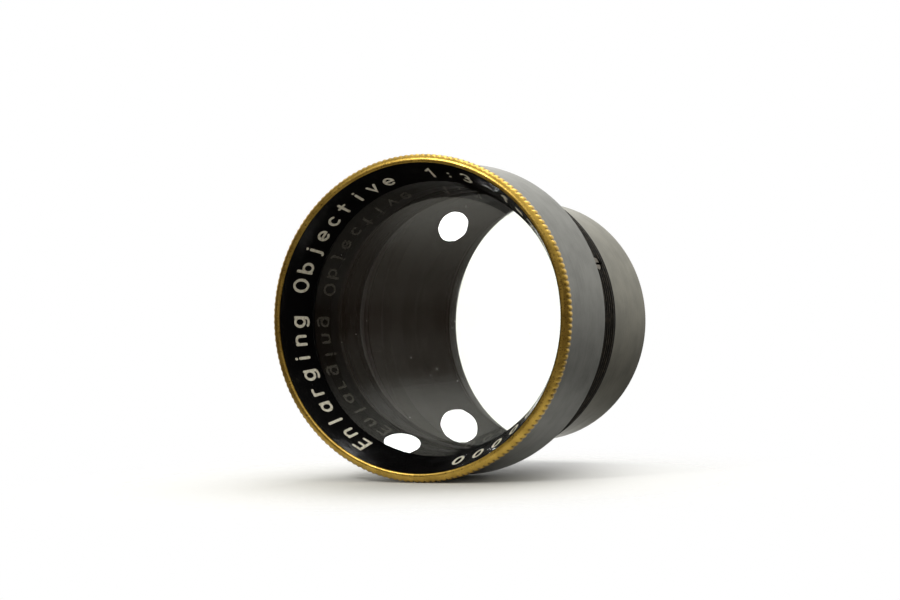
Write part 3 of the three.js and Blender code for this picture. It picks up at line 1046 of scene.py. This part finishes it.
build_rim()
build_cell()
build_lettering()
build_ring("front_retaining_ring")
build_glass("front_element")
build_barrel()
build_shim()
build_baffle()
build_neck()
build_screw()
build_tube()
build_ring("middle_retaining_ring")
build_stop()
build_glass("middle_element")
build_spacer()
build_glass("rear_element")
build_ring("rear_retaining_ring")

# ---- Stage ---------------------------------------------------

FLOOR_RADIUS = 44.0
FLOOR_FADE_START = 6.0               # from the middle of the floor
FLOOR_COLOUR = (0.72, 0.72, 0.705)
FLOOR_ROUGHNESS = 0.6

DARK_ROOM = (0.062, 0.045, 0.034)
PALE_CEILING = (0.80, 0.79, 0.74)
WINDOW = (1.6, 1.6, 1.6)
WARMTH = (1.0, 0.985, 0.92)
THROUGH_LENS = (-0.42, 0.905, 0.02)  # the way the camera looks through the lens

# Name, shape, direction from the front of the lens, distance, size and power.
LAMPS = (
    ("round_lamp", "DISK", (-0.265, -0.79, 0.575), 160.0, 31.0, 0.09),
    ("overhead", "SQUARE", (0.1, 0.35, 0.94), 500.0, 420.0, 1.7),
)
INDIRECT_CLAMP = 50.0                # high enough to keep the lamp's mirror images white


def smooth_range(tree, value, source, target):
    """A value carried from one range to another by a smooth step."""
    node = tree.nodes.new("ShaderNodeMapRange")
    node.interpolation_type = "SMOOTHSTEP"
    for socket, number in zip(node.inputs[1:5], (*source, *target)):
        socket.default_value = number
    tree.links.new(value, node.inputs[0])
    return node.outputs[0]


def choose_shader(tree, amount, first, second, output):
    """Shows the first shader where amount is 0 and the second where it is 1."""
    blend = tree.nodes.new("ShaderNodeMixShader")
    for source, socket in zip((amount, first.outputs[0], second.outputs[0]), blend.inputs):
        tree.links.new(source, socket)
    tree.links.new(blend.outputs[0], output.inputs["Surface"])


def floor_material():
    """Pale floor that fades out towards its edge."""
    material = bpy.data.materials.new("pale_floor")
    material.use_nodes = True
    tree = material.node_tree
    shader = tree.nodes["Principled BSDF"]
    shader.inputs["Base Color"].default_value = (*FLOOR_COLOUR, 1.0)
    shader.inputs["Roughness"].default_value = FLOOR_ROUGHNESS
    clear = tree.nodes.new("ShaderNodeBsdfTransparent")
    place = tree.nodes.new("ShaderNodeTexCoord")
    length = tree.nodes.new("ShaderNodeVectorMath")
    length.operation = "LENGTH"
    tree.links.new(place.outputs["Object"], length.inputs[0])
    span = (FLOOR_FADE_START * MM, FLOOR_RADIUS * MM)
    fade = smooth_range(tree, length.outputs["Value"], span, FULL)
    choose_shader(tree, fade, shader, clear, tree.nodes["Material Output"])
    return material


def add_floor():
    """A disc that touches the lens under its rim and under the barrel's rear edge."""
    barrel_low, barrel_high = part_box("front_barrel")
    tilt = math.atan2(barrel_low.z - RIM_LOW.z, barrel_high.y - RIM_HIGH.y)
    work = bmesh.new()
    bmesh.ops.create_circle(work, cap_ends=True, segments=128, radius=FLOOR_RADIUS * MM)
    floor = from_bmesh("floor", work)
    under_rim = Matrix.Translation((0, RIM_HIGH.y, RIM_LOW.z))
    floor.matrix_world = under_rim @ Matrix.Rotation(tilt, 4, "X")
    floor.data.materials.append(floor_material())
    bpy.context.collection.objects.link(floor)


def add_world():
    """White behind the lens, a darker room in front of it, and plain white for the camera."""
    world = bpy.data.worlds.new("studio")
    bpy.context.scene.world = world
    world.use_nodes = True
    tree = world.node_tree
    tree.nodes.clear()
    direction = tree.nodes.new("ShaderNodeTexCoord").outputs["Generated"]
    split = tree.nodes.new("ShaderNodeSeparateXYZ")
    tree.links.new(direction, split.inputs[0])

    def combine(operation, first, second):
        node = tree.nodes.new("ShaderNodeMath")
        node.operation = operation
        tree.links.new(first, node.inputs[0])
        tree.links.new(second, node.inputs[1])
        return node.outputs[0]

    def vector(operation, source, fixed):
        node = tree.nodes.new("ShaderNodeVectorMath")
        node.operation = operation
        node.inputs[1].default_value = fixed
        tree.links.new(source, node.inputs[0])
        return node.outputs

    def blend(amount, first, second):
        node = tree.nodes.new("ShaderNodeMix")
        node.data_type = "RGBA"
        tree.links.new(amount, node.inputs[0])
        for socket, colour in ((node.inputs[6], first), (node.inputs[7], second)):
            if isinstance(colour, tuple):
                socket.default_value = (*colour, 1.0)
            else:
                tree.links.new(colour, socket)
        return node.outputs[2]

    side, ahead, up = (split.outputs[axis] for axis in "XYZ")
    overhead = smooth_range(tree, up, (0.20, 0.68), FULL)
    ceiling = combine("MULTIPLY", overhead, smooth_range(tree, side, (-0.85, -0.45), (0.15, 1.0)))
    table = smooth_range(tree, up, (-0.14, -0.02), (0.12, 0.0))
    room = blend(combine("MAXIMUM", ceiling, table), DARK_ROOM, PALE_CEILING)
    backdrop = smooth_range(tree, up, (-0.34, 0.34), (0.14, 1.16))
    level = blend(smooth_range(tree, ahead, (0.0, 0.45), FULL), room, backdrop)
    through = vector("DOT_PRODUCT", direction, THROUGH_LENS)["Value"]
    level = blend(smooth_range(tree, through, (0.90, 0.96), FULL), level, WINDOW)
    lit = tree.nodes.new("ShaderNodeBackground")
    tree.links.new(vector("MULTIPLY", level, WARMTH)["Vector"], lit.inputs["Color"])
    seen = tree.nodes.new("ShaderNodeBackground")
    seen.inputs["Color"].default_value = (1, 1, 1, 1)
    for_camera = tree.nodes.new("ShaderNodeLightPath").outputs["Is Camera Ray"]
    choose_shader(tree, for_camera, lit, seen, tree.nodes.new("ShaderNodeOutputWorld"))


def add_lamp(name, shape, direction, distance, size, power):
    """An area light on a direction from the front of the lens, facing it."""
    data = bpy.data.lights.new(name, "AREA")
    data.shape = shape
    data.size = size * MM
    data.energy = power
    lamp = bpy.data.objects.new(name, data)
    aim = Vector(direction).normalized()
    target = Vector((0, RIM_PLANE, AXIS_HEIGHT)) * MM
    lamp.location = target + aim * distance * MM
    lamp.rotation_mode = "QUATERNION"
    lamp.rotation_quaternion = aim.to_track_quat("Z", "Y")
    bpy.context.collection.objects.link(lamp)


add_floor()
add_world()
for lamp in LAMPS:
    add_lamp(*lamp)
bpy.context.scene.view_settings.view_transform = "Standard"
bpy.context.scene.cycles.sample_clamp_indirect = INDIRECT_CLAMP
